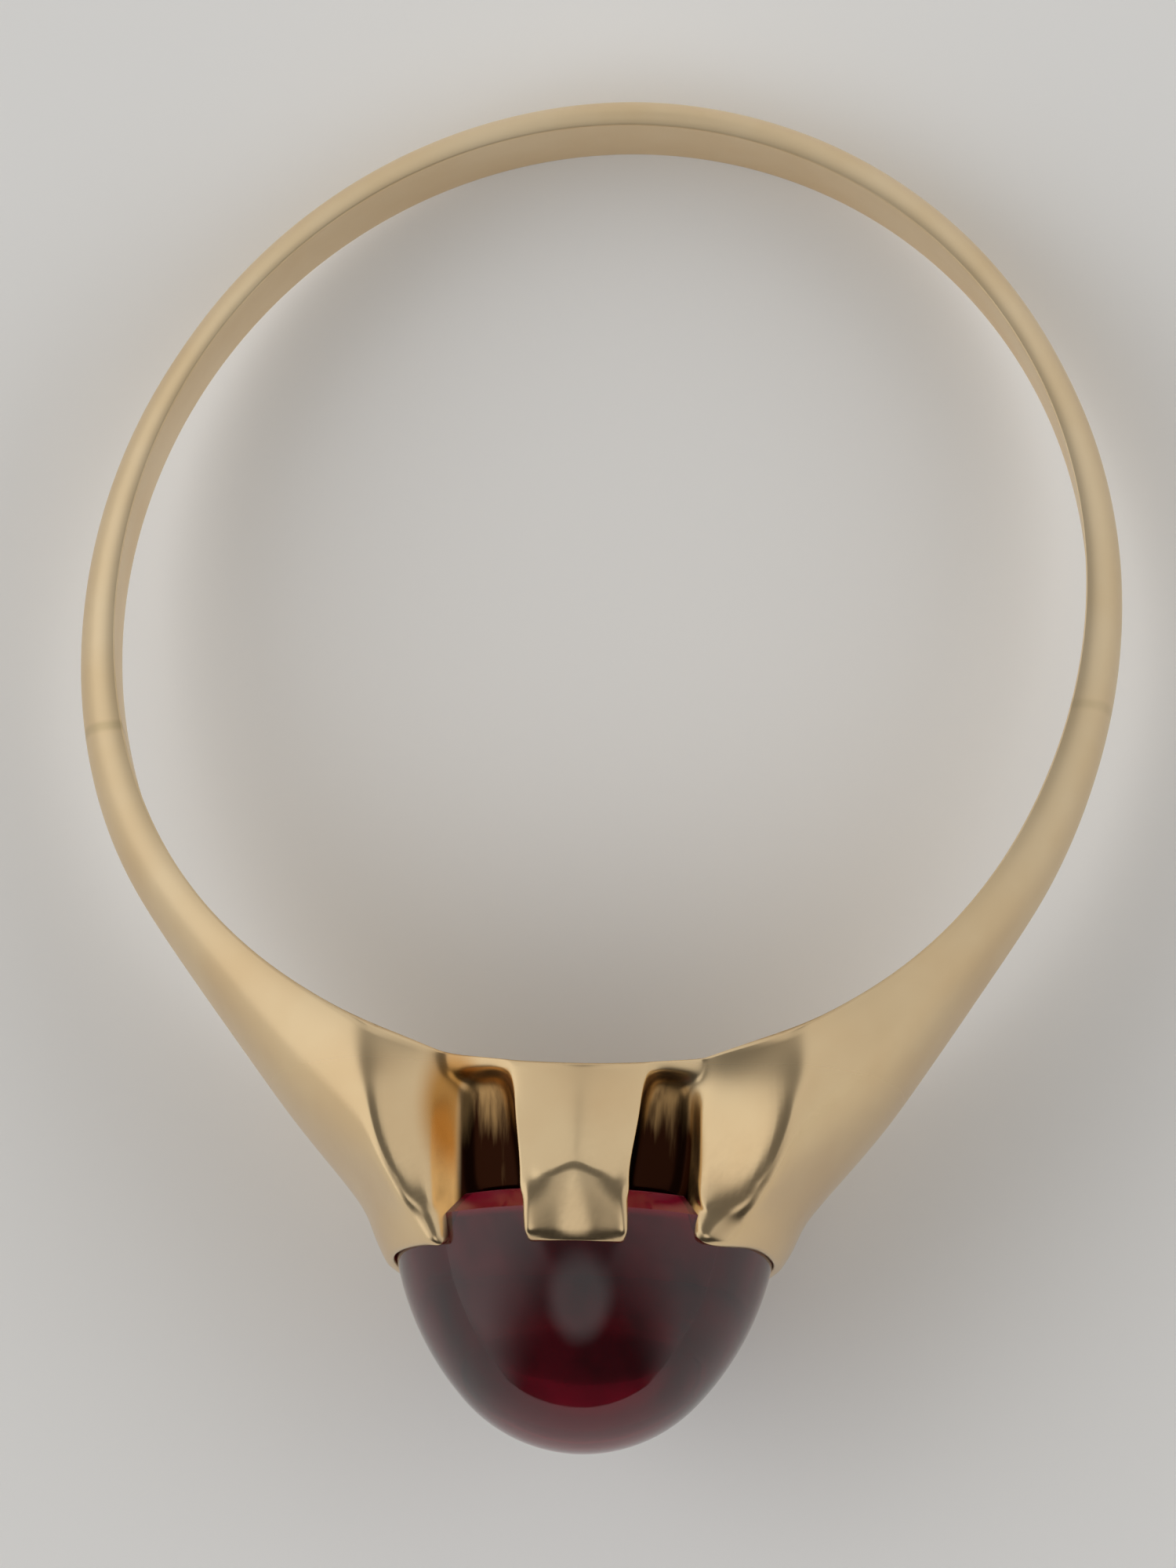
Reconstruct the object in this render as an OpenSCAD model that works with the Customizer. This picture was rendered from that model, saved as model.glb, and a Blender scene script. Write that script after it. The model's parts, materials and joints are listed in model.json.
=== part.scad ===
// Claw-set ring: a slim gold hoop whose straight shoulders rise to a fluted head with six claws,
// holding a high round cabochon. The ring lies on its side: +Z is up, the stone points along -Y,
// and the origin is on the surface, under the middle of the ring.
// In the hoop's own frame the finger hole runs along Z. Rise is the distance from its centre line
// towards the stone, and half width is measured from the hoop's middle plane along the hole.

/* [Hoop] */
// Diameter of the finger hole
bore_d = 17.9; // [16:0.1:21]
// Metal thickness at the back of the hoop
back_t = 0.62; // [0.5:0.02:1.2]
// Thickness of the worn, thinnest metal, halfway round to the sides
worn_t = 0.54; // [0.4:0.02:1]
// Metal thickness where the shoulders leave the hoop
side_t = 0.8; // [0.6:0.02:1.2]
// Share of the thickness that stays full width before the section rounds over
side_share = 0.2; // [0.1:0.05:0.6]
// Roundness of the outside, from 2 for an ellipse to 3 for a squarer dome
dome_power = 2.3; // [2:0.1:3]

/* [Head] */
// Radius of the head where it meets the finger hole
foot_r = 3.5; // [3.2:0.05:3.7]
// Largest radius of the claws, beside the edge of the stone
claw_r = 4.08; // [3.95:0.01:4.3]
// Rise at that largest radius, where the claws start to bend in
claw_rise = 11.2; // [10.9:0.05:11.4]
// Rise of the claw tips
tip_rise = 12.15; // [11.9:0.05:12.3]
// Outer radius of the claw tips
tip_r = 3.66; // [3.6:0.01:3.8]
// Rise of the floor of the flutes
flute_rise = 9.08; // [9.05:0.01:9.4]
// Distance of each flute's round inner wall centre from the stone's axis
flute_centre_r = 3.5; // [3.4:0.05:3.7]
// How far the bend of the claws bulges past a straight line
bend_bulge = 0.06; // [0.02:0.01:0.1]
// Size of the small chamfer round the claw tips
tip_edge = 0.09; // [0.04:0.01:0.12]
// Radius of the plain round opening under the stone
opening_r = 2.2; // [1.6:0.1:2.4]
// Radius of the shallow notch between the two claws of a shoulder
notch_r = 0.5; // [0.3:0.05:0.6]
// Depth of that notch below the claw tips
notch_depth = 0.35; // [0.2:0.05:0.45]

/* [Stone] */
// Diameter of the cabochon
stone_d = 7; // [6.9:0.05:7.05]
// Rise of its flat base
stone_rise = 11.16; // [11.1:0.02:11.2]
// Height of the bevel round the base
bevel_h = 0.39; // [0.3:0.01:0.45]
// Width of the bevel, taken off the base
bevel_w = 0.36; // [0.3:0.01:0.5]
// Rise of the widest line that the sides are drawn from
widest_rise = 10.85; // [10.7:0.05:11]
// Rise of the crown
crown_rise = 15.4; // [15:0.1:15.8]
// Radius of the round crown
crown_r = 2.85; // [2.6:0.05:3]
// Clearance between the stone and its seat
seat_gap = 0.03; // [0.02:0.01:0.05]

/* [Hidden] */

// Thickness of the hoop, by angle from its back
thicknesses = [
    // angle, thickness
    [0, back_t],
    [60, worn_t],
    [90, 0.65],
    [118, side_t],
];
// Half width of the hoop and shoulders, by angle from the back of the hoop
half_widths = [
    // angle, half width
    [0, 1.05],
    [60, 1.0],
    [90, 0.95],
    [105, 1.0],
    [118, 1.25],
    [130, 1.7],
    [140, 2.15],
    [150, 2.6],
    [158, 2.87],
    [164, 3.02],
    [170, 3.08],
];
// The flutes between the claws, by angle about the stone's axis from the right shoulder
flutes = [
    // angle, radius
    [64, 0.6],
    [119, 0.82],
    [-60, 0.72],
    [-120, 0.72],
];

bore_r = bore_d / 2;
stone_r = stone_d / 2;
step_a = 5;
last_a = 170;
dome_steps = 10;
inside = 0.4; // how far the band starts inside the finger hole, before that is cut
beyond = 20; // longer than any cut has to be
bevel_past = 1; // how far the bevel's line runs on past the side of the stone
head_low = bore_r - 1;
foot_rise = (bore_r + flute_rise) / 2;

// The shoulders are straight lines from the rim of the head that touch the hoop's outer circle
rim_reach = norm([claw_r, claw_rise]);
rim_a = 180 - atan(claw_r / claw_rise);
side_out_r = bore_r + side_t;
tangent_a = rim_a - acos(side_out_r / rim_reach);

// The side arc of the stone passes its widest line upright and runs smoothly into the crown
crown_centre = crown_rise - crown_r;
arc_drop = crown_centre - widest_rise;
side_arc_r = (stone_r * stone_r + arc_drop * arc_drop - crown_r * crown_r) / (2 * (stone_r - crown_r));
girdle_rise = stone_rise + bevel_h;

// At rest the ring touches the surface with a claw and with the back of the hoop
back_half_w = half_widths[0][1];
back_touch_r = bore_r + side_share * back_t;
rest_tilt = atan((claw_r - back_half_w) / (claw_rise + back_touch_r));
rest_lift = claw_r * cos(rest_tilt) - claw_rise * sin(rest_tilt);
front_reach = crown_centre * cos(rest_tilt) + crown_r;
back_reach = (bore_r + back_t) * cos(rest_tilt);
rest_y = (front_reach - back_reach) / 2;

// Rounds a coordinate to a thousandth of a millimetre, which keeps the corners of the band exact
function fine(v) = round(v * 1000) / 1000;

function hoop_out_r(a) = bore_r + lookup(a, thicknesses);
function shoulder_out_r(a) = min(side_out_r / cos(a - tangent_a), claw_rise / cos(180 - a));
function outer_r(a) = a < tangent_a ? hoop_out_r(a) : shoulder_out_r(a);

// One section of the hoop as [radius, width] points, from one inner corner over the outside
function section(a) =
    let (
        half_w = lookup(a, half_widths),
        out_r = outer_r(a),
        turn_r = bore_r + side_share * (out_r - bore_r)
    )
    concat(
        [[bore_r - inside, half_w]],
        [for (k = [0 : dome_steps])
            let (t = 180 * k / dome_steps, c = cos(t))
            [turn_r + (out_r - turn_r) * pow(sin(t), 2 / dome_power),
                half_w * sign(c) * pow(abs(c), 2 / dome_power)]],
        [[bore_r - inside, -half_w]]
    );

// The band swept round the hole, open between the two shoulders
module band() {
    angles = [for (a = [-last_a : step_a : last_a]) a];
    count = len(angles);
    per = len(section(0));
    points = [for (a = angles) for (p = section(abs(a)))
        [fine(p[0] * sin(a)), fine(p[0] * cos(a)), fine(p[1])]];
    sides = [for (i = [0 : count - 2]) for (k = [0 : per - 1])
        let (a = i * per + k, b = i * per + (k + 1) % per)
        for (f = [[a, b, a + per], [b, b + per, a + per]]) f];
    first_end = [for (k = [per - 1 : -1 : 0]) k];
    last_end = [for (k = [0 : per - 1]) (count - 1) * per + k];
    polyhedron(points, concat([first_end], sides, [last_end]));
}

// Turns a shape drawn upright so that its Z axis runs from the finger hole to the stone
module towards_stone() {
    rotate([90, 0, 0]) children();
}

// The flared drum that the claws are cut from
module drum() {
    bend_rise = (claw_rise + tip_rise) / 2;
    rotate_extrude()
        polygon([
            [0, head_low],
            [foot_r, head_low],
            [foot_r, foot_rise],
            [claw_r, claw_rise],
            [(claw_r + tip_r) / 2 + bend_bulge, bend_rise],
            [tip_r, tip_rise - tip_edge],
            [tip_r - tip_edge, tip_rise],
            [0, tip_rise],
        ]);
}

// A groove with a round inner wall, open to the outside and upwards
module groove(angle, radius, from_rise) {
    rotate([0, 0, angle])
        translate([0, 0, from_rise])
            linear_extrude(height = beyond) {
                translate([flute_centre_r, 0]) circle(r = radius, $fn = 48);
                translate([flute_centre_r, -radius]) square([beyond, 2 * radius]);
            }
}

// The stone standing on its base, and with grow the seat that clears it
module stone_form(grow = 0) {
    girdle_r = sqrt(pow(side_arc_r, 2) - pow(girdle_rise - widest_rise, 2)) - (side_arc_r - stone_r);
    base_r = girdle_r - bevel_w;
    past_r = girdle_r + bevel_past + grow;
    lean_a = atan(arc_drop / (side_arc_r - stone_r));
    join = [crown_r * cos(lean_a), crown_centre + crown_r * sin(lean_a)];
    rotate_extrude($fn = 96) {
        translate([0, crown_centre])
            intersection() {
                circle(r = crown_r + grow, $fn = 96);
                square(beyond);
            }
        intersection() {
            translate([stone_r - side_arc_r, widest_rise]) circle(r = side_arc_r + grow, $fn = 96);
            polygon([
                [0, stone_rise - grow],
                [base_r + grow, stone_rise - grow],
                [past_r, girdle_rise + bevel_past * bevel_h / bevel_w - grow],
                [past_r, join[1]],
                join,
                [0, crown_centre],
            ]);
        }
    }
}

// Places a shape of the hoop's own frame as the ring rests on its side
module at_rest() {
    translate([0, rest_y, rest_lift]) rotate([-rest_tilt, 0, 0]) children();
}

module claw_mount() {
    color("#c8b08a")
        at_rest()
            difference() {
                union() {
                    band();
                    towards_stone() drum();
                }
                cylinder(h = beyond, r = bore_r, center = true, $fn = 96);
                towards_stone() {
                    cylinder(h = stone_rise, r = opening_r, $fn = 64);
                    stone_form(seat_gap);
                    for (f = flutes) groove(f[0], f[1], flute_rise);
                    for (angle = [0, 180]) groove(angle, notch_r, tip_rise - notch_depth);
                }
            }
}

module cabochon() {
    color("#4b1a24")
        at_rest()
            towards_stone()
                stone_form();
}

claw_mount();
cabochon();
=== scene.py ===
import json
from math import acos, asin, atan2, cos, degrees, hypot, pi, radians, sin, sqrt, tan

import bmesh
import bpy
from mathutils import Matrix, Vector


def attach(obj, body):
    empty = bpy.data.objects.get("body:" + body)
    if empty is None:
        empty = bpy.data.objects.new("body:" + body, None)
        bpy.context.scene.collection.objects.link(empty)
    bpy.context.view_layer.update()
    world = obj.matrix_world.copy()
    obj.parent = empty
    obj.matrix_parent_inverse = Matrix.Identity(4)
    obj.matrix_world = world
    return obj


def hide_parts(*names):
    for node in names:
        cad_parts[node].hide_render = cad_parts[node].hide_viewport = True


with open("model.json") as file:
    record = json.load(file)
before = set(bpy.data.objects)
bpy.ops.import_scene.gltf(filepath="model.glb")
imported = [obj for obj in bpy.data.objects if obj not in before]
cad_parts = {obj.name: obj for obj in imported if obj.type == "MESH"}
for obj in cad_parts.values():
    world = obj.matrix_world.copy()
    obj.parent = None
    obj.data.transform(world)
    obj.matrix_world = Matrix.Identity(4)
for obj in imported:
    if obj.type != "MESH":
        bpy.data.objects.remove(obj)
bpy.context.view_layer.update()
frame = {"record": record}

scene = bpy.context.scene
scene.view_settings.view_transform = "Standard"
print("frame loaded")

# The ring is drawn in its own frame, in millimetres: the finger hole runs along Z through the
# origin, the stone points along -Y, and "rise" is the distance towards it. The finger hole of the
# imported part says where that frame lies.
millimetre = 0.001
hole = frame["record"]["mounts"][0]
holeAxis = Vector(hole["axis"]).normalized()
across = Vector((1, 0, 0))
ringTurn = Matrix((across, holeAxis.cross(across), holeAxis)).transposed()
ringPlace = (
    Matrix.Translation(hole["pos_m"]) @ ringTurn.to_4x4() @ Matrix.Scale(millimetre, 4))
boreRadius = hole["dims"]["r_mm"]
axisVectors = {"Y": (0, 1, 0), "Z": (0, 0, 1)}


def between(table, at):  # straight-line reading of a table of (place, value) rows
    for (a, low), (b, high) in zip(table, table[1:]):
        if at <= b:
            return low + (high - low) * max(at - a, 0) / (b - a)
    return table[-1][1]


def smooth(t):  # 0 to 1 without corners
    t = min(max(t, 0), 1)
    return t * t * (3 - 2 * t)


def onBore(x, z):  # the point of the finger hole's wall that faces the stone there
    return Vector((x, -sqrt(boreRadius ** 2 - x ** 2), z))


def finished(bm, name, levels):  # puts the mesh in its place on the floor and smooths it
    for f in bm.faces:
        f.smooth = True
    bmesh.ops.transform(bm, matrix=ringPlace, verts=bm.verts[:])
    mesh = bpy.data.meshes.new(name)
    bm.to_mesh(mesh)
    bm.free()
    piece = bpy.data.objects.new(name, mesh)
    scene.collection.objects.link(piece)
    if levels:
        skin = piece.modifiers.new("skin", "SUBSURF")
        skin.levels = skin.render_levels = levels
    return piece


# Gold mount. One skin: a drum of columns spun round the stone's axis, and a hoop spun round the
# finger hole, bridged at the shoulders and smoothed by subdivision. Lengths are in millimetres.
mount = {
    # hoop, by angle from its back
    "lastAngle": 150,        # where its own sections end and the bridge to the drum starts
    "stations": 50,
    "halfWidths": [
        (0, 1.07), (60, 1.02), (90, 0.99), (105, 1.06),
        (118, 1.28), (130, 1.7), (140, 2.18), (150, 2.62)],
    "thicknesses": [(0, 0.63), (60, 0.55), (90, 0.66), (118, 0.81)],
    "section": [             # share of the half width, share of the thickness
        (-1, 0), (-0.5, 0), (0, 0), (0.5, 0), (1, 0),
        (0.99, 0.24), (0.91, 0.56), (0.7, 0.82), (0.36, 0.97), (0, 1.01),
        (-0.36, 0.97), (-0.7, 0.82), (-0.91, 0.56), (-0.99, 0.24)],
    "lean": 0.0456,          # worn out of round: sideways shift for each mm towards the back
    "stretch": 0.0133,       # and share by which it is longer and narrower
    "wornEnds": (-10, -2),   # y between which both set in

    # drum, by angle round the stone's axis, anticlockwise from the right
    "rim": (4.08, 11.2),     # radius and rise of the rim that the straight shoulders run up to
    "gapLevels": (8.95, 11.1, 12),  # rise of foot, middle and tip
    "gaps": [                # for both edges of a gap: kind, and angles at foot, middle and tip
        (("facet", (50, 50, 54)), ("edge", (69.5, 76.6, 74))),
        (("edge", (110.5, 104, 105)), ("corner", (136, 135, 133))),
        (("corner", (223.5, 225, 229)), ("edge", (249, 255, 257))),
        (("edge", (291, 285, 283)), ("corner", (316.5, 315, 309)))],
    "shoulderShares": [      # columns between the corner claws of a shoulder
        (0.08, "crest"), (0.27, "shoulder"), (0.5, "shoulder"),
        (0.73, "shoulder"), (0.92, "crest")],
    "wallFoot": 0.1,         # how far the foot of a gap's walls stands out from its floor
    "wallSlope": {           # how much of half a gap its walls take, by the edge above them
        "corner": 0.15, "facet": 0.05, "edge": 0.08},

    # columns: radius and rise, from the opening down the hole, up the outside and back inside
    "clawWall": [
        (2.2, None), (2.8, None), (3.5, None), (3.61, 9.5),
        (3.82, 10.3), (4.03, 11.1), (4.02, 11.55), (3.82, 12.1),
        (3.37, 12.38), (3.55, 11.5), (3.15, 11.12), (2.25, 11.1)],
    "wornTip": [             # down the middle of a claw, where a flat is worn on the tip
        (2.2, None), (2.8, None), (3.52, None), (3.64, 9.5),
        (3.87, 10.3), (4.03, 10.85), (3.84, 11.38), (3.59, 12.0),
        (3.36, 12.38), (3.55, 11.5), (3.15, 11.12), (2.25, 11.1)],
    "worn": {                # share across a claw, share of that flat
        0.1: 0, 0.32: 0.2, 0.5: 1, 0.68: 0.2, 0.9: 0},
    "wornFlare": {5: 1.4, 6: 0.25, 7: 0.08},  # power that widens it towards the tip, by row
    "rimWall": [             # the rim of the head at the end of the shoulders
        (2.2, None), (2.8, None), (3.6, None), (3.66, 9.5),
        (3.88, 10.3), (4.06, 11.0), (3.92, 11.5), (3.68, 11.96),
        (3.46, 12.04), (3.54, 11.5), (3.15, 11.12), (2.25, 11.1)],
    "cornerWall": [          # the edges of the corner claws, which stand further out at the foot
        (2.2, None), (2.8, None), (3.92, None), (3.84, 9.15),
        (3.82, 10.1), (3.82, 11.1), (3.76, 11.6), (3.64, 12.1),
        (3.38, 12.36), (3.55, 11.5), (3.15, 11.12), (2.25, 11.1)],
    "facetWall": [           # the same for the right corner claw in front, filed far back
        (2.2, None), (2.8, None), (3.72, None), (3.4, 9.2),
        (3.36, 10.1), (3.44, 11.1), (3.58, 11.6), (3.62, 12.1),
        (3.38, 12.36), (3.55, 11.5), (3.15, 11.12), (2.25, 11.1)],
    "fluteWall": [           # the floor of a gap, which ends under the stone
        (2.2, None), (2.8, None), (3.5, None), (3.46, 9.0),
        (2.98, 9.1), (2.92, 10.0), (2.92, 11.0), (2.86, 11.1),
        (2.76, 11.12), (2.66, 11.12), (2.5, 11.12), (2.25, 11.1)],
    "crest": [               # rise, x and z of the corner claws' ridge, from the foot to the tip
        (9.2, 3.84, 3.06), (10.3, 3.68, 3.08), (11.15, 3.32, 2.88),
        (11.62, 3.02, 2.66), (12.06, 2.7, 2.52), (12.18, 2.46, 2.35)],
    "crestFoot": 2.85,       # half width of the mount where those ridges start at the hole
    "shoulderReach": 3.85,   # distance of the shoulders' seam in the hole from the middle
    "filed": [               # how far the tips are filed back, by angle
        (0, 0), (8, 0.1), (20, 0.18), (30, 0.05), (41, -0.04), (54, 0.18), (62, 0),
        (320, 0), (340, 0.15), (360, 0)],

    # how crisp the edges stay under the subdivision
    "rimCrease": 0.75,
    "ridgeCrease": {"crest": 0.4, "corner": 0.85, "facet": 0.7, "edge": 0.6},
    "bendCrease": 0.5,
    "tipCrease": 0.5,
    "skinLevels": 3,

    # even shapes that drum and hoop start from, before each point goes to its place
    "blankDrum": (3, 0.8),   # radius, half thickness
    "blankHoop": 0.1,        # thickness
    "hoopColumns": 100,      # number of the first hoop section, past the drum's columns
    "holeTolerance": 0.02,   # how close to the wall of the hole a point counts as on it
}

wallOf = {
    "claw": "clawWall", "edge": "clawWall", "corner": "cornerWall", "facet": "facetWall",
    "crest": "cornerWall", "shoulder": "rimWall", "wall": "fluteWall", "flute": "fluteWall"}
rows = len(mount["clawWall"])
lastRow = rows - 1
# the others with a name: last one in the hole, first one outside, rim, bend, tip and its end
footRow, outsideRow, rimRow, bendRow, tipRow, endRow = 2, 3, 5, 6, 7, 8

rimReach = hypot(*mount["rim"])
sideOuter = boreRadius + mount["thicknesses"][-1][1]
tangentAngle = 180 - degrees(atan2(*mount["rim"])) - degrees(acos(sideOuter / rimReach))


def hoopOuter(angle):  # round at the back, then a straight line to the rim of the head
    if angle < tangentAngle:
        return boreRadius + between(mount["thicknesses"], angle)
    return sideOuter / cos(radians(angle - tangentAngle))


def hoopPoint(row, angle):
    side, up = mount["section"][row]
    r = boreRadius + up * (hoopOuter(abs(angle)) - boreRadius)
    z = side * between(mount["halfWidths"], abs(angle))
    return Vector((r * sin(radians(angle)), r * cos(radians(angle)), z))


def drumColumns():  # (kind, angles at foot, middle and tip, share) of every column
    made = []
    gaps = mount["gaps"]
    for gap, after in zip(gaps, gaps[1:] + gaps[:1]):
        (firstKind, start), (lastKind, end) = gap
        middle = [(a + b) / 2 for a, b in zip(start, end)]
        walls = []
        for edge, side in gap:
            slope = mount["wallSlope"][edge]
            walls.append([a + (m - a) * slope for a, m in zip(side, middle)])
        made += [
            (firstKind, start, 0), ("wall", walls[0], 0), ("flute", middle, 0),
            ("wall", walls[1], 0), (lastKind, end, 0)]
        # then the shoulder or the claw up to the next gap
        fullTurn = 360 if after is gaps[0] else 0
        following = [a + fullTurn for a in after[0][1]]
        shares = mount["shoulderShares"]
        if lastKind == "edge":
            shares = [(share, "claw") for share in mount["worn"]]
        for share, kind in shares:
            made.append((kind, [a + (b - a) * share for a, b in zip(end, following)], share))
    return made


columns = drumColumns()


def drumPoint(row, column):
    kind, angles, share = columns[column]
    r, rise = mount[wallOf[kind]][row]
    if kind == "claw" and rise:
        flat = mount["worn"][share] ** mount["wornFlare"].get(row, 1)
        r, rise = (a + (b - a) * flat for a, b in zip((r, rise), mount["wornTip"][row]))
    levels = mount["gapLevels"]
    azimuth = between(list(zip(levels, angles)), rise or levels[0])
    if kind == "wall" and row > outsideRow:
        r += mount["wallFoot"] * (lastRow - row) / (lastRow - outsideRow - 1)
    if row in (tipRow, endRow) and kind not in ("wall", "flute"):
        rise -= between(mount["filed"], azimuth % 360)
    x, z = r * cos(radians(azimuth)), r * sin(radians(azimuth))
    if kind in ("crest", "shoulder") and row == footRow:
        reach = mount["shoulderReach"]
        x, z = x * reach / abs(x), z * reach / abs(x)
        z = min(max(z, -mount["crestFoot"]), mount["crestFoot"])
    if kind == "crest" and outsideRow <= row <= endRow:
        rise, crestX, crestZ = mount["crest"][row - outsideRow]
        x, z = crestX if x > 0 else -crestX, crestZ if z > 0 else -crestZ
    if rise is None:
        return onBore(x, z)
    return Vector((x, -rise, z))


def outOfRound(co):
    start, end = mount["wornEnds"]
    share = smooth((co.y - start) / (end - start))
    x = co.x * (1 - mount["stretch"] * share) + mount["lean"] * co.y * share
    return Vector((x, co.y * (1 + mount["stretch"] * share), co.z))


def spinLoop(bm, points, axis, start, turn, steps, whole):  # a closed section swept round an axis
    rowOf = bm.verts.layers.int["row"]
    known = set(bm.verts)
    ring = [bm.verts.new(p) for p in points]
    for row, v in enumerate(ring):
        v[rowOf] = row
    edges = [bm.edges.new(pair) for pair in zip(ring, ring[1:] + ring[:1])]
    bmesh.ops.rotate(bm, verts=ring, cent=(0, 0, 0), matrix=Matrix.Rotation(start, 3, axis))
    bmesh.ops.spin(
        bm, geom=ring + edges, cent=(0, 0, 0), axis=axisVectors[axis], angle=turn,
        steps=steps, use_merge=whole)
    return [v for v in bm.verts if v not in known]


def goldMount():
    bm = bmesh.new()
    rowOf = bm.verts.layers.int.new("row")
    columnOf = bm.verts.layers.int.new("column")
    crease = bm.edges.layers.float.new("crease_edge")

    # the drum: an even torus first, then every column goes to its place
    reach, half = mount["blankDrum"]
    turns = [2 * pi * i / rows for i in range(rows)]
    profile = [Vector((reach + half * cos(t), half * sin(t), 0)) for t in turns]
    for v in spinLoop(bm, profile, "Y", 0, 2 * pi, len(columns), True):
        turned = degrees(atan2(v.co.z, v.co.x)) % 360
        v[columnOf] = round(turned * len(columns) / 360) % len(columns)
        v.co = drumPoint(v[rowOf], v[columnOf])

    # the shoulders leave the drum where its wall is opened between the ridges of the corner claws
    def inShoulder(face):
        kinds = {columns[v[columnOf]][0] for v in face.verts}
        found = [v[rowOf] for v in face.verts]
        onWall = min(found) >= footRow and max(found) <= rimRow
        return onWall and kinds <= {"crest", "shoulder"}
    bmesh.ops.delete(bm, geom=[f for f in bm.faces if inShoulder(f)], context="FACES")

    # the hoop: sections spun round the finger hole, then each to its width and thickness
    last, steps = mount["lastAngle"], mount["stations"]
    flat = [
        Vector((0, boreRadius + mount["blankHoop"] * up, side)) for side, up in mount["section"]]
    for v in spinLoop(bm, flat, "Z", radians(last), -2 * radians(last), steps, False):
        angle = degrees(atan2(v.co.x, v.co.y))
        v[columnOf] = mount["hoopColumns"] + round((angle + last) * steps / (2 * last))
        v.co = hoopPoint(v[rowOf], angle)

    for side in (-1, 1):
        rims = [e for e in bm.edges if len(e.link_faces) == 1 and e.verts[0].co.x * side > 0]
        made = bmesh.ops.bridge_loops(bm, edges=rims)
        bmesh.ops.subdivide_edges(bm, edges=made["edges"], cuts=1, use_grid_fill=True)

    # the rims of the finger hole, the ridges and the bends of the claws stay crisp
    def onHole(v):
        return abs(hypot(v.co.x, v.co.y) - boreRadius) < mount["holeTolerance"]
    inHole = {f for f in bm.faces if all(onHole(v) for v in f.verts)}
    for e in bm.edges:
        a, b = e.verts
        kinds = {columns[v[columnOf]][0] for v in e.verts if v[columnOf] < len(columns)}
        alongColumn = len(kinds) == 1 and a[columnOf] == b[columnOf]
        alongRow = a[rowOf] if a[rowOf] == b[rowOf] else None
        if len(inHole.intersection(e.link_faces)) == 1:
            e[crease] = mount["rimCrease"]
        elif alongColumn and kinds <= set(mount["ridgeCrease"]):
            if outsideRow <= min(a[rowOf], b[rowOf]) < bendRow:
                e[crease] = mount["ridgeCrease"][kinds.pop()]
        elif alongRow == rimRow and kinds == {"claw"}:
            e[crease] = mount["bendCrease"]
        elif alongRow == tipRow and kinds and not kinds & {"wall", "flute"}:
            e[crease] = mount["tipCrease"]
    bmesh.ops.recalc_face_normals(bm, faces=bm.faces[:])
    for v in bm.verts:
        v.co = outOfRound(v.co)
    return finished(bm, "goldMount", mount["skinLevels"])


goldRing = goldMount()
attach(goldRing, "root")
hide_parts("claw_mount")
print("gold mount made")

# Cabochon: flat base, bevel, side arc and round crown, spun about the stone's axis
stone = {
    "radius": 3.5, "baseRise": 11.16, "bevelHeight": 0.39, "bevelWidth": 0.36,
    "widestRise": 10.85, "crownRise": 15.4, "crownRadius": 2.85,
    "arcSteps": 14, "turns": 96,
    "mergeWithin": 0.001,    # joins the points at the middle of base and crown
    "crispFrom": 25,         # edges with more degrees than this between their faces stay crisp
}


def cabochonProfile():  # (radius, rise) from the middle of the base out and up to the crown
    radius, crown = stone["radius"], stone["crownRadius"]
    centre = stone["crownRise"] - crown
    drop = centre - stone["widestRise"]
    sideRadius = (radius ** 2 + drop ** 2 - crown ** 2) / (2 * (radius - crown))
    sideCentre = radius - sideRadius
    girdleRise = stone["baseRise"] + stone["bevelHeight"]
    low = asin((girdleRise - stone["widestRise"]) / sideRadius)
    join = atan2(drop, -sideCentre)
    girdle = sideCentre + sideRadius * cos(low)
    points = [(0, stone["baseRise"]), (girdle - stone["bevelWidth"], stone["baseRise"])]
    n = stone["arcSteps"]
    for i in range(n):
        a = low + (join - low) * i / n
        points.append((
            sideCentre + sideRadius * cos(a), stone["widestRise"] + sideRadius * sin(a)))
    for i in range(n + 1):
        a = join + (pi / 2 - join) * i / n
        points.append((crown * cos(a), centre + crown * sin(a)))
    return points


def cabochon():
    bm = bmesh.new()
    line = [bm.verts.new((r, -rise, 0)) for r, rise in cabochonProfile()]
    edges = [bm.edges.new(pair) for pair in zip(line, line[1:])]
    bmesh.ops.spin(
        bm, geom=line + edges, cent=(0, 0, 0), axis=axisVectors["Y"], angle=2 * pi,
        steps=stone["turns"], use_merge=True)
    bmesh.ops.remove_doubles(bm, verts=bm.verts[:], dist=stone["mergeWithin"])
    bmesh.ops.recalc_face_normals(bm, faces=bm.faces[:])
    for e in bm.edges:
        if len(e.link_faces) == 2 and e.calc_face_angle() > radians(stone["crispFrom"]):
            e.smooth = False
    return finished(bm, "garnetCabochon", 0)


garnet = cabochon()
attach(garnet, "root")
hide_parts("cabochon")
print("cabochon made")

# Sockets of a colour mix: its share, its two colours, and its result
mixShare, mixFirst, mixSecond, mixResult = 0, 6, 7, 2


def colour(text):  # sRGB hex to linear
    parts = [int(text[i:i + 2], 16) / 255 for i in (0, 2, 4)]
    return [c / 12.92 if c <= 0.04045 else ((c + 0.055) / 1.055) ** 2.4 for c in parts] + [1]


def addNode(tree, kind, settings, links):  # links from sockets, or from nodes' first outputs
    node = tree.nodes.new("ShaderNode" + kind)
    for name, value in settings.items():
        if isinstance(name, str) and hasattr(node, name):
            setattr(node, name, value)
        else:
            node.inputs[name].default_value = value
    for name, source in links.items():
        socket = source if isinstance(source, bpy.types.NodeSocket) else source.outputs[0]
        tree.links.new(socket, node.inputs[name])
    return node


def newMaterial(name):
    material = bpy.data.materials.new(name)
    material.use_nodes = True
    material.node_tree.nodes.clear()
    return material, material.node_tree


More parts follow.
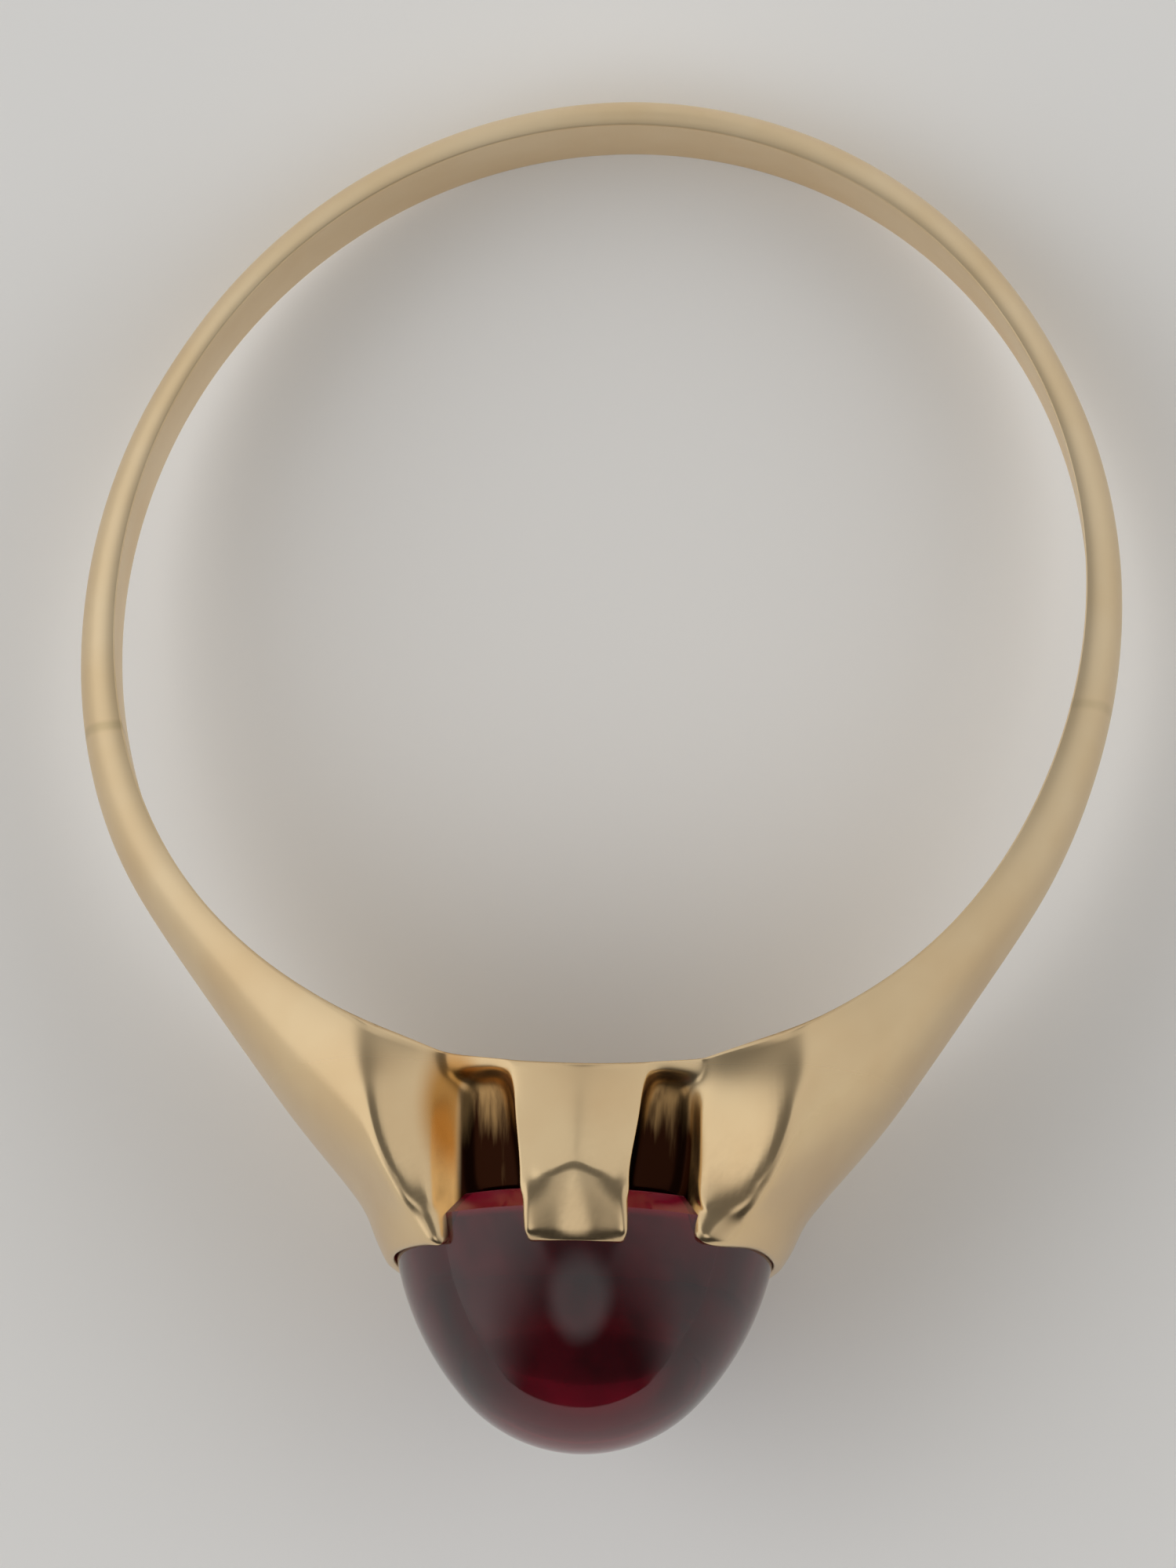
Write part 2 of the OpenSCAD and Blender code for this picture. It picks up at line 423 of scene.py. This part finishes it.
def ringMaterial(name, patterns):  # starts a material with its coordinates and noise patterns
    material, tree = newMaterial(name)
    # object coordinates turned into the ring's own frame, in millimetres
    turn = ringPlace.inverted()
    seen = addNode(tree, "TexCoord", {}, {}).outputs["Object"]
    place = addNode(tree, "Mapping", {
        "Location": turn.translation, "Rotation": turn.to_euler(),
        "Scale": turn.to_scale()}, {"Vector": seen})
    along = addNode(tree, "SeparateXYZ", {}, {0: place}).outputs["Y"]
    pattern = {}
    for label, size, turned, detail in patterns:
        placed = addNode(tree, "Mapping", {
            "vector_type": "TEXTURE", "Rotation": turned, "Scale": size}, {"Vector": place})
        pattern[label] = addNode(tree, "TexNoise", {
            "Scale": 1, "Detail": detail}, {"Vector": placed})
    return material, tree, place, along, pattern


# Old 9 carat gold, cast and polished, then worn: a warm, soft shine with blurred reflections,
# clearer on the head than on the hoop. Places are in the ring's own frame, in mm, along Y where
# there is one number.
oldGold = {
    "head": ("EFD4A8", "E9CB9E"),        # clear and cloudy tone; warmer than the hoop's, partly as painted reflection of the gold in itself
    "hoop": ("F1DBB6", "ECD3AA"),
    "cloudShare": (0.35, 0.65),          # noise between which the tone clouds over
    "headToHoop": (-9, -3),              # where the head's tones give way to the hoop's
    "seam": "B3A06E",                    # greenish solder, seen only here and there
    "seamShow": 0.35,                    # how much of it shows at most
    "seamEdge": (0.02, 0.14),            # distance from its middle where it starts and ends to fade
    "seamPlane": (-0.04, 1, 0, 2.0),     # plane through both seams, where shoulders meet hoop
    "flute": ("2A140A", "B08C5C"),       # painted shade: dark brown low in the flutes under the stone, paler where they start
    "fluteFloor": [                      # axes measured, distance of no painted shade and of full
        ((1, 0, 1), 3.32, 3.15),         # from the stone's axis
        ((1, 1, 0), 9.0, 9.1)],          # from the finger hole's axis
    "fluteEnd": -8,                      # and none on the hoop's side of this
    "fluteRise": (-10.6, -9.2),          # from dark, near the stone, to pale
    "fluteShift": 0.3,                   # how far that lowers or raises the noise of the streaks
    "fluteStreaks": (0.35, 0.9),         # noise between which the tone goes from dark to pale
    "stain": "CA9450",                   # painted reflection, amber: gold mirrored in gold on the wall of the left flute in front
    "stainPlace": (-2.3, -9.6, 2.4), "stainReach": (0.8, 1.5, 1.2),
    "stainFade": (1, 0.4),               # share of the reach where it starts and is full
    "patterns": [                        # name, size in mm, turn, detail
        ("clouds", (2, 2, 2), (0, 0, 0), 3),
        ("streaks", (0.2, 2, 0.2), (0, 0, 0), 3),
        # real scratches are finer than these, and wouldn't show
        ("scratches", (1.4, 0.06, 0.06), (0.2, 0.3, 0.5), 3),
        ("crossScratches", (0.07, 1.2, 0.07), (0.5, -0.2, -0.6), 3),
        ("waves", (2.2, 2.2, 2.2), (0, 0, 0), 1)],
    "waveHeight": 0.016, "scratchDepth": 0.0004,  # mm
    "roughness": (0.2, 0.44),            # of the head, of the back of the hoop
    "roughnessEnds": (-10.5, -5),
    "scratchHaze": 0.05,                 # roughness that scratches add, on the claws alone
    "hazeEnds": (-10.6, -9.6),
    "hazeShare": (0.15, 0.4),            # noise between which a scratch shows
}


def goldTone(tree, place, along, pattern):
    low, high = oldGold["cloudShare"]
    cloudy = addNode(tree, "MapRange", {
        "From Min": low, "From Max": high}, {"Value": pattern["clouds"]})
    tones = []
    for clear, clouded in (oldGold["head"], oldGold["hoop"]):
        tones.append(addNode(tree, "Mix", {
            "data_type": "RGBA", mixFirst: colour(clear), mixSecond: colour(clouded)},
            {mixShare: cloudy}).outputs[mixResult])
    start, end = oldGold["headToHoop"]
    towardsHoop = addNode(tree, "MapRange", {
        "From Min": start, "From Max": end}, {"Value": along})
    tone = addNode(tree, "Mix", {"data_type": "RGBA"}, {
        mixShare: towardsHoop, mixFirst: tones[0], mixSecond: tones[1]})
    *lean, offset = oldGold["seamPlane"]
    level = addNode(tree, "VectorMath", {"operation": "DOT_PRODUCT", 1: lean}, {0: place})
    past = addNode(tree, "Math", {
        "operation": "ADD", 1: offset}, {0: level.outputs["Value"]})
    away = addNode(tree, "Math", {"operation": "ABSOLUTE"}, {0: past})
    start, end = oldGold["seamEdge"]
    seam = addNode(tree, "MapRange", {
        "interpolation_type": "SMOOTHSTEP", "From Min": start, "From Max": end,
        "To Min": oldGold["seamShow"], "To Max": 0}, {"Value": away})
    shown = addNode(tree, "Math", {"operation": "MULTIPLY"}, {0: seam, 1: cloudy})
    return addNode(tree, "Mix", {
        "data_type": "RGBA", mixSecond: colour(oldGold["seam"])}, {
        mixShare: shown, mixFirst: tone.outputs[mixResult]}).outputs[mixResult]


def fluteShade(tree, place, along, pattern):  # (share, tone) of the painted shade on the floor of the flutes, dark under the stone
    shaded = addNode(tree, "Math", {
        "operation": "LESS_THAN", 1: oldGold["fluteEnd"]}, {0: along})
    for axes, start, end in oldGold["fluteFloor"]:
        flat = addNode(tree, "VectorMath", {"operation": "MULTIPLY", 1: axes}, {0: place})
        away = addNode(tree, "VectorMath", {"operation": "LENGTH"}, {0: flat})
        inside = addNode(tree, "MapRange", {
            "interpolation_type": "SMOOTHSTEP", "From Min": start, "From Max": end},
            {"Value": away.outputs["Value"]})
        shaded = addNode(tree, "Math", {
            "operation": "MULTIPLY"}, {0: shaded, 1: inside})
    low, high = oldGold["fluteRise"]
    shift = oldGold["fluteShift"]
    height = addNode(tree, "MapRange", {
        "From Min": low, "From Max": high, "To Min": -shift, "To Max": shift},
        {"Value": along})
    uneven = addNode(tree, "Math", {
        "operation": "ADD"}, {0: pattern["streaks"], 1: height})
    start, end = oldGold["fluteStreaks"]
    paler = addNode(tree, "MapRange", {
        "interpolation_type": "SMOOTHSTEP", "From Min": start, "From Max": end},
        {"Value": uneven})
    dark, pale = oldGold["flute"]
    tone = addNode(tree, "Mix", {
        "data_type": "RGBA", mixFirst: colour(dark), mixSecond: colour(pale)},
        {mixShare: paler})
    return shaded, tone.outputs[mixResult]


def wallReflection(tree, place, shaded):  # share of the painted amber reflection, which stops at the painted shade
    fromStain = addNode(tree, "Mapping", {
        "vector_type": "TEXTURE", "Location": oldGold["stainPlace"],
        "Scale": oldGold["stainReach"]}, {"Vector": place})
    away = addNode(tree, "VectorMath", {"operation": "LENGTH"}, {0: fromStain})
    start, end = oldGold["stainFade"]
    reflected = addNode(tree, "MapRange", {
        "interpolation_type": "SMOOTHSTEP", "From Min": start, "From Max": end},
        {"Value": away.outputs["Value"]})
    clear = addNode(tree, "Math", {"operation": "SUBTRACT", 0: 1}, {1: shaded})
    return addNode(tree, "Math", {"operation": "MULTIPLY"}, {0: reflected, 1: clear})


def goldWear(tree, along, pattern):  # roughness and relief: polish, fine scratches, slight waves
    scratches = addNode(tree, "Math", {"operation": "MULTIPLY"}, {
        0: pattern["scratches"], 1: pattern["crossScratches"]})
    start, end = oldGold["hazeEnds"]
    onClaws = addNode(tree, "MapRange", {
        "From Min": start, "From Max": end, "To Min": oldGold["scratchHaze"], "To Max": 0},
        {"Value": along})
    low, high = oldGold["hazeShare"]
    haze = addNode(tree, "MapRange", {
        "From Min": low, "From Max": high}, {"Value": scratches, "To Max": onClaws})
    start, end = oldGold["roughnessEnds"]
    headRoughness, hoopRoughness = oldGold["roughness"]
    polish = addNode(tree, "MapRange", {
        "From Min": start, "From Max": end, "To Min": headRoughness,
        "To Max": hoopRoughness}, {"Value": along})
    roughness = addNode(tree, "Math", {"operation": "ADD"}, {0: haze, 1: polish})
    waves = addNode(tree, "Bump", {
        "Strength": 1, "Distance": oldGold["waveHeight"] * millimetre},
        {"Height": pattern["waves"]})
    relief = addNode(tree, "Bump", {
        "Strength": 1, "Distance": oldGold["scratchDepth"] * millimetre},
        {"Height": scratches, "Normal": waves})
    return roughness, relief


def goldMaterial():
    gold, tree, place, along, pattern = ringMaterial("polishedOldGold", oldGold["patterns"])
    # painted shade, dark brown, low in the flutes under the stone
    shaded, shadeTone = fluteShade(tree, place, along, pattern)
    tone = addNode(tree, "Mix", {"data_type": "RGBA"}, {
        mixShare: shaded, mixFirst: goldTone(tree, place, along, pattern),
        mixSecond: shadeTone})
    # painted reflection: amber of the gold mirrored in itself, on the left flute's wall
    tone = addNode(tree, "Mix", {
        "data_type": "RGBA", mixSecond: colour(oldGold["stain"])}, {
        mixShare: wallReflection(tree, place, shaded), mixFirst: tone.outputs[mixResult]})
    roughness, relief = goldWear(tree, along, pattern)
    shader = addNode(tree, "BsdfPrincipled", {"Metallic": 1}, {
        "Base Color": tone.outputs[mixResult], "Roughness": roughness, "Normal": relief})
    addNode(tree, "OutputMaterial", {}, {"Surface": shader})
    return gold


# Garnet, cut as a cabochon and polished: a glassy skin over a deep, clouded red, with a painted
# glow of light through it where it is thin, at the bevel and the crown. Its base is only ground, so
# it is dull.
polishedGarnet = {
    "body": ("4A0716", "7E0E25"),        # clouded tones of the deep stone
    "cloudShare": (0.35, 0.65),          # noise between which it clouds over
    "thin": "C81A40",                    # painted glow of light through the stone, where it is thin
    "thinRise": [(11.7, 11.5), (14.5, 15.5)],  # rises between which the painted glow sets in: bevel, crown
    "roughness": (0.04, 0.09),           # of clear and of worn polish
    "wearShare": (0.45, 0.7),            # noise between which the polish is worn
    "baseRoughness": 0.6,                # added on the ground base alone
    "baseLayer": (0.02, 0.01),           # distance over the base at which none and all is added
    "patterns": [                        # name, size in mm, turn, detail
        ("clouds", (0.9, 1.5, 0.9), (0.3, 0, 0.4), 2),
        ("wear", (0.5, 0.5, 0.5), (0, 0, 0), 4)],
    "waveHeight": 0.006,                 # mm
    "ior": 1.62,                         # garnet has about 1.76; this matches how much it mirrors
    "transmission": 0.8,
}


def garnetMaterial():
    red, tree, _, along, pattern = ringMaterial("polishedGarnet", polishedGarnet["patterns"])
    glowParts = []
    for start, end in polishedGarnet["thinRise"]:
        glowParts.append(addNode(tree, "MapRange", {
            "interpolation_type": "SMOOTHSTEP", "From Min": -start, "From Max": -end},
            {"Value": along}))
    thin = addNode(tree, "Math", {"operation": "ADD"}, {0: glowParts[0], 1: glowParts[1]})
    low, high = polishedGarnet["cloudShare"]
    clouded = addNode(tree, "MapRange", {
        "From Min": low, "From Max": high}, {"Value": pattern["clouds"]})
    dark, pale = polishedGarnet["body"]
    deep = addNode(tree, "Mix", {
        "data_type": "RGBA", mixFirst: colour(dark), mixSecond: colour(pale)},
        {mixShare: clouded})
    # painted glow of light through the stone, at the bevel and the crown
    tone = addNode(tree, "Mix", {
        "data_type": "RGBA", mixSecond: colour(polishedGarnet["thin"])}, {
        mixShare: thin, mixFirst: deep.outputs[mixResult]})
    low, high = polishedGarnet["wearShare"]
    clear, worn = polishedGarnet["roughness"]
    polish = addNode(tree, "MapRange", {
        "From Min": low, "From Max": high, "To Min": clear, "To Max": worn},
        {"Value": pattern["wear"]})
    outer, inner = polishedGarnet["baseLayer"]
    ground = addNode(tree, "MapRange", {
        "From Min": -stone["baseRise"] - outer, "From Max": -stone["baseRise"] - inner,
        "To Max": polishedGarnet["baseRoughness"]}, {"Value": along})
    roughness = addNode(tree, "Math", {"operation": "ADD"}, {0: polish, 1: ground})
    relief = addNode(tree, "Bump", {
        "Strength": 1, "Distance": polishedGarnet["waveHeight"] * millimetre},
        {"Height": pattern["clouds"]})
    shader = addNode(tree, "BsdfPrincipled", {
        "IOR": polishedGarnet["ior"], "Transmission Weight": polishedGarnet["transmission"]}, {
        "Base Color": tone.outputs[mixResult], "Roughness": roughness, "Normal": relief})
    addNode(tree, "OutputMaterial", {}, {"Surface": shader})
    return red


goldRing.data.materials.append(goldMaterial())
garnet.data.materials.append(garnetMaterial())
print("materials made")

# Studio: pale floor in a pale tent with a dark camera hood over it, two large soft boxes, and
# the camera
studio = {
    "floorSize": 0.6,        # m
    "floor": "F7F6F4", "floorRoughness": 0.8,
    "air": "FFFEFC", "airStrength": 0.66,
    "boxes": [               # name, azimuth, elevation, then distance, width and height in m,
                             # and brightness
        ("leftBox", 188, 33, 0.5, 0.42, 0.5, 1.0),
        ("rightBox", -8, 30, 0.5, 0.42, 0.5, 0.8)],
    "patches": [             # middle and radii in degrees from overhead, brightness, softness
        ((-62, 0), (40, 56), 1.32, 0.15),     # soft box on the left
        ((68, -8), (34, 48), 0.95, 0.15),     # soft box on the right
        ((2, -78), (80, 68), 0.07, 0.2),      # dark camera hood
        ((0, 8), (26, 33), 0.22, 0.15),       # its neck
        ((-1, 68), (8, 14), 0.05, 0.3),       # stand behind it
        ((0, -31), (19, 16), 1.1, 0.4)],      # pale opening in it
    "belowLevel": 1.001,     # a little over 1, so that straight down isn't divided by nothing
    "tilt": -12.63,          # degrees by which the ring is turned against the camera
    "roll": -3.03,
    "turn": -0.93,
    "middle": (-0.26, -2.99),  # of the view, from the middle of the finger hole, mm
    "distance": 300,         # of the camera, mm
    "frameHeight": 2000 / 70,  # mm, at 70 of the photo's pixels for each
    "sensor": 36,            # mm
    "nearest": 0.01,         # what the camera still draws, m
}


def floorPlane():  # matt white paper: pale and even, with a soft shadow and no shine
    bm = bmesh.new()
    bmesh.ops.create_grid(bm, x_segments=1, y_segments=1, size=studio["floorSize"] / 2)
    mesh = bpy.data.meshes.new("floor")
    bm.to_mesh(mesh)
    bm.free()
    floor = bpy.data.objects.new("floor", mesh)
    scene.collection.objects.link(floor)
    paper, tree = newMaterial("palePaper")
    shader = addNode(tree, "BsdfPrincipled", {
        "Base Color": colour(studio["floor"]), "Roughness": studio["floorRoughness"]}, {})
    addNode(tree, "OutputMaterial", {}, {"Surface": shader})
    mesh.materials.append(paper)


def softBox(name, azimuth, elevation, distance, width, height, brightness):
    lamp = bpy.data.lights.new(name, "AREA")
    lamp.shape = "RECTANGLE"
    lamp.size, lamp.size_y = width, height
    lamp.energy = pi * width * height * brightness  # its face then has that brightness
    box = bpy.data.objects.new(name, lamp)
    scene.collection.objects.link(box)
    a, e = radians(azimuth), radians(elevation)
    box.location = Vector((cos(a) * cos(e), sin(a) * cos(e), sin(e))) * distance
    box.rotation_euler = box.location.to_track_quat("Z", "X").to_euler()
    box.visible_glossy = box.visible_transmission = False  # its reflection is a patch of the tent


def studioCamera():
    lens = bpy.data.cameras.new("camera")
    lens.sensor_fit = "VERTICAL"
    lens.sensor_height = studio["sensor"]
    lens.lens = lens.sensor_height * studio["distance"] / studio["frameHeight"]
    lens.clip_start = studio["nearest"]
    camera = bpy.data.objects.new("camera", lens)
    scene.collection.objects.link(camera)
    seen = Matrix.Rotation(radians(studio["turn"]), 3, "Z")
    seen = seen @ Matrix.Rotation(radians(studio["roll"]), 3, "Y")
    seen = seen @ Matrix.Rotation(radians(studio["tilt"]), 3, "X")
    turn = ringTurn @ seen.transposed()
    away = Vector((*studio["middle"], studio["distance"])) * millimetre
    where = Vector(hole["pos_m"]) + turn @ away
    camera.matrix_world = Matrix.Translation(where) @ turn.to_4x4()
    scene.camera = camera


def tent():  # directions are flattened so that an angle from overhead becomes tan(angle / 2)
    world = bpy.data.worlds.new("studioTent")
    world.use_nodes = True
    tree = world.node_tree
    tree.nodes.clear()
    look = addNode(tree, "TexCoord", {}, {}).outputs["Generated"]
    upward = addNode(tree, "SeparateXYZ", {}, {0: look}).outputs["Z"]
    fromBelow = addNode(tree, "Math", {
        "operation": "ADD", 1: studio["belowLevel"]}, {0: upward})
    flat = addNode(tree, "VectorMath", {"operation": "DIVIDE"}, {0: look, 1: fromBelow})
    outside = {}             # what shows outside a patch: the one before it, or the plain tent
    for middle, radii, level, soft in studio["patches"]:
        low = [tan(radians((m - r) / 2)) for m, r in zip(middle, radii)]
        high = [tan(radians((m + r) / 2)) for m, r in zip(middle, radii)]
        halfX, halfY = [(b - a) / 2 for a, b in zip(low, high)]
        centreX, centreY = [(a + b) / 2 for a, b in zip(low, high)]
        placed = addNode(tree, "Mapping", {
            "Location": (-centreX / halfX, -centreY / halfY, 0),
            "Scale": (1 / halfX, 1 / halfY, 0)}, {"Vector": flat})
        away = addNode(tree, "VectorMath", {"operation": "LENGTH"}, {0: placed})
        patch = addNode(tree, "MapRange", {
            "interpolation_type": "SMOOTHSTEP", "From Min": 1 - soft, "From Max": 1 + soft,
            "To Min": level, "To Max": 1}, {"Value": away.outputs["Value"], **outside})
        outside = {"To Max": patch}
    strength = addNode(tree, "Math", {
        "operation": "MULTIPLY", 1: studio["airStrength"]}, {0: outside["To Max"]})
    air = addNode(tree, "Background", {
        "Color": colour(studio["air"])}, {"Strength": strength})
    addNode(tree, "OutputWorld", {}, {"Surface": air})
    return world


floorPlane()
for box in studio["boxes"]:
    softBox(*box)
studioCamera()
scene.world = tent()
print("studio made")
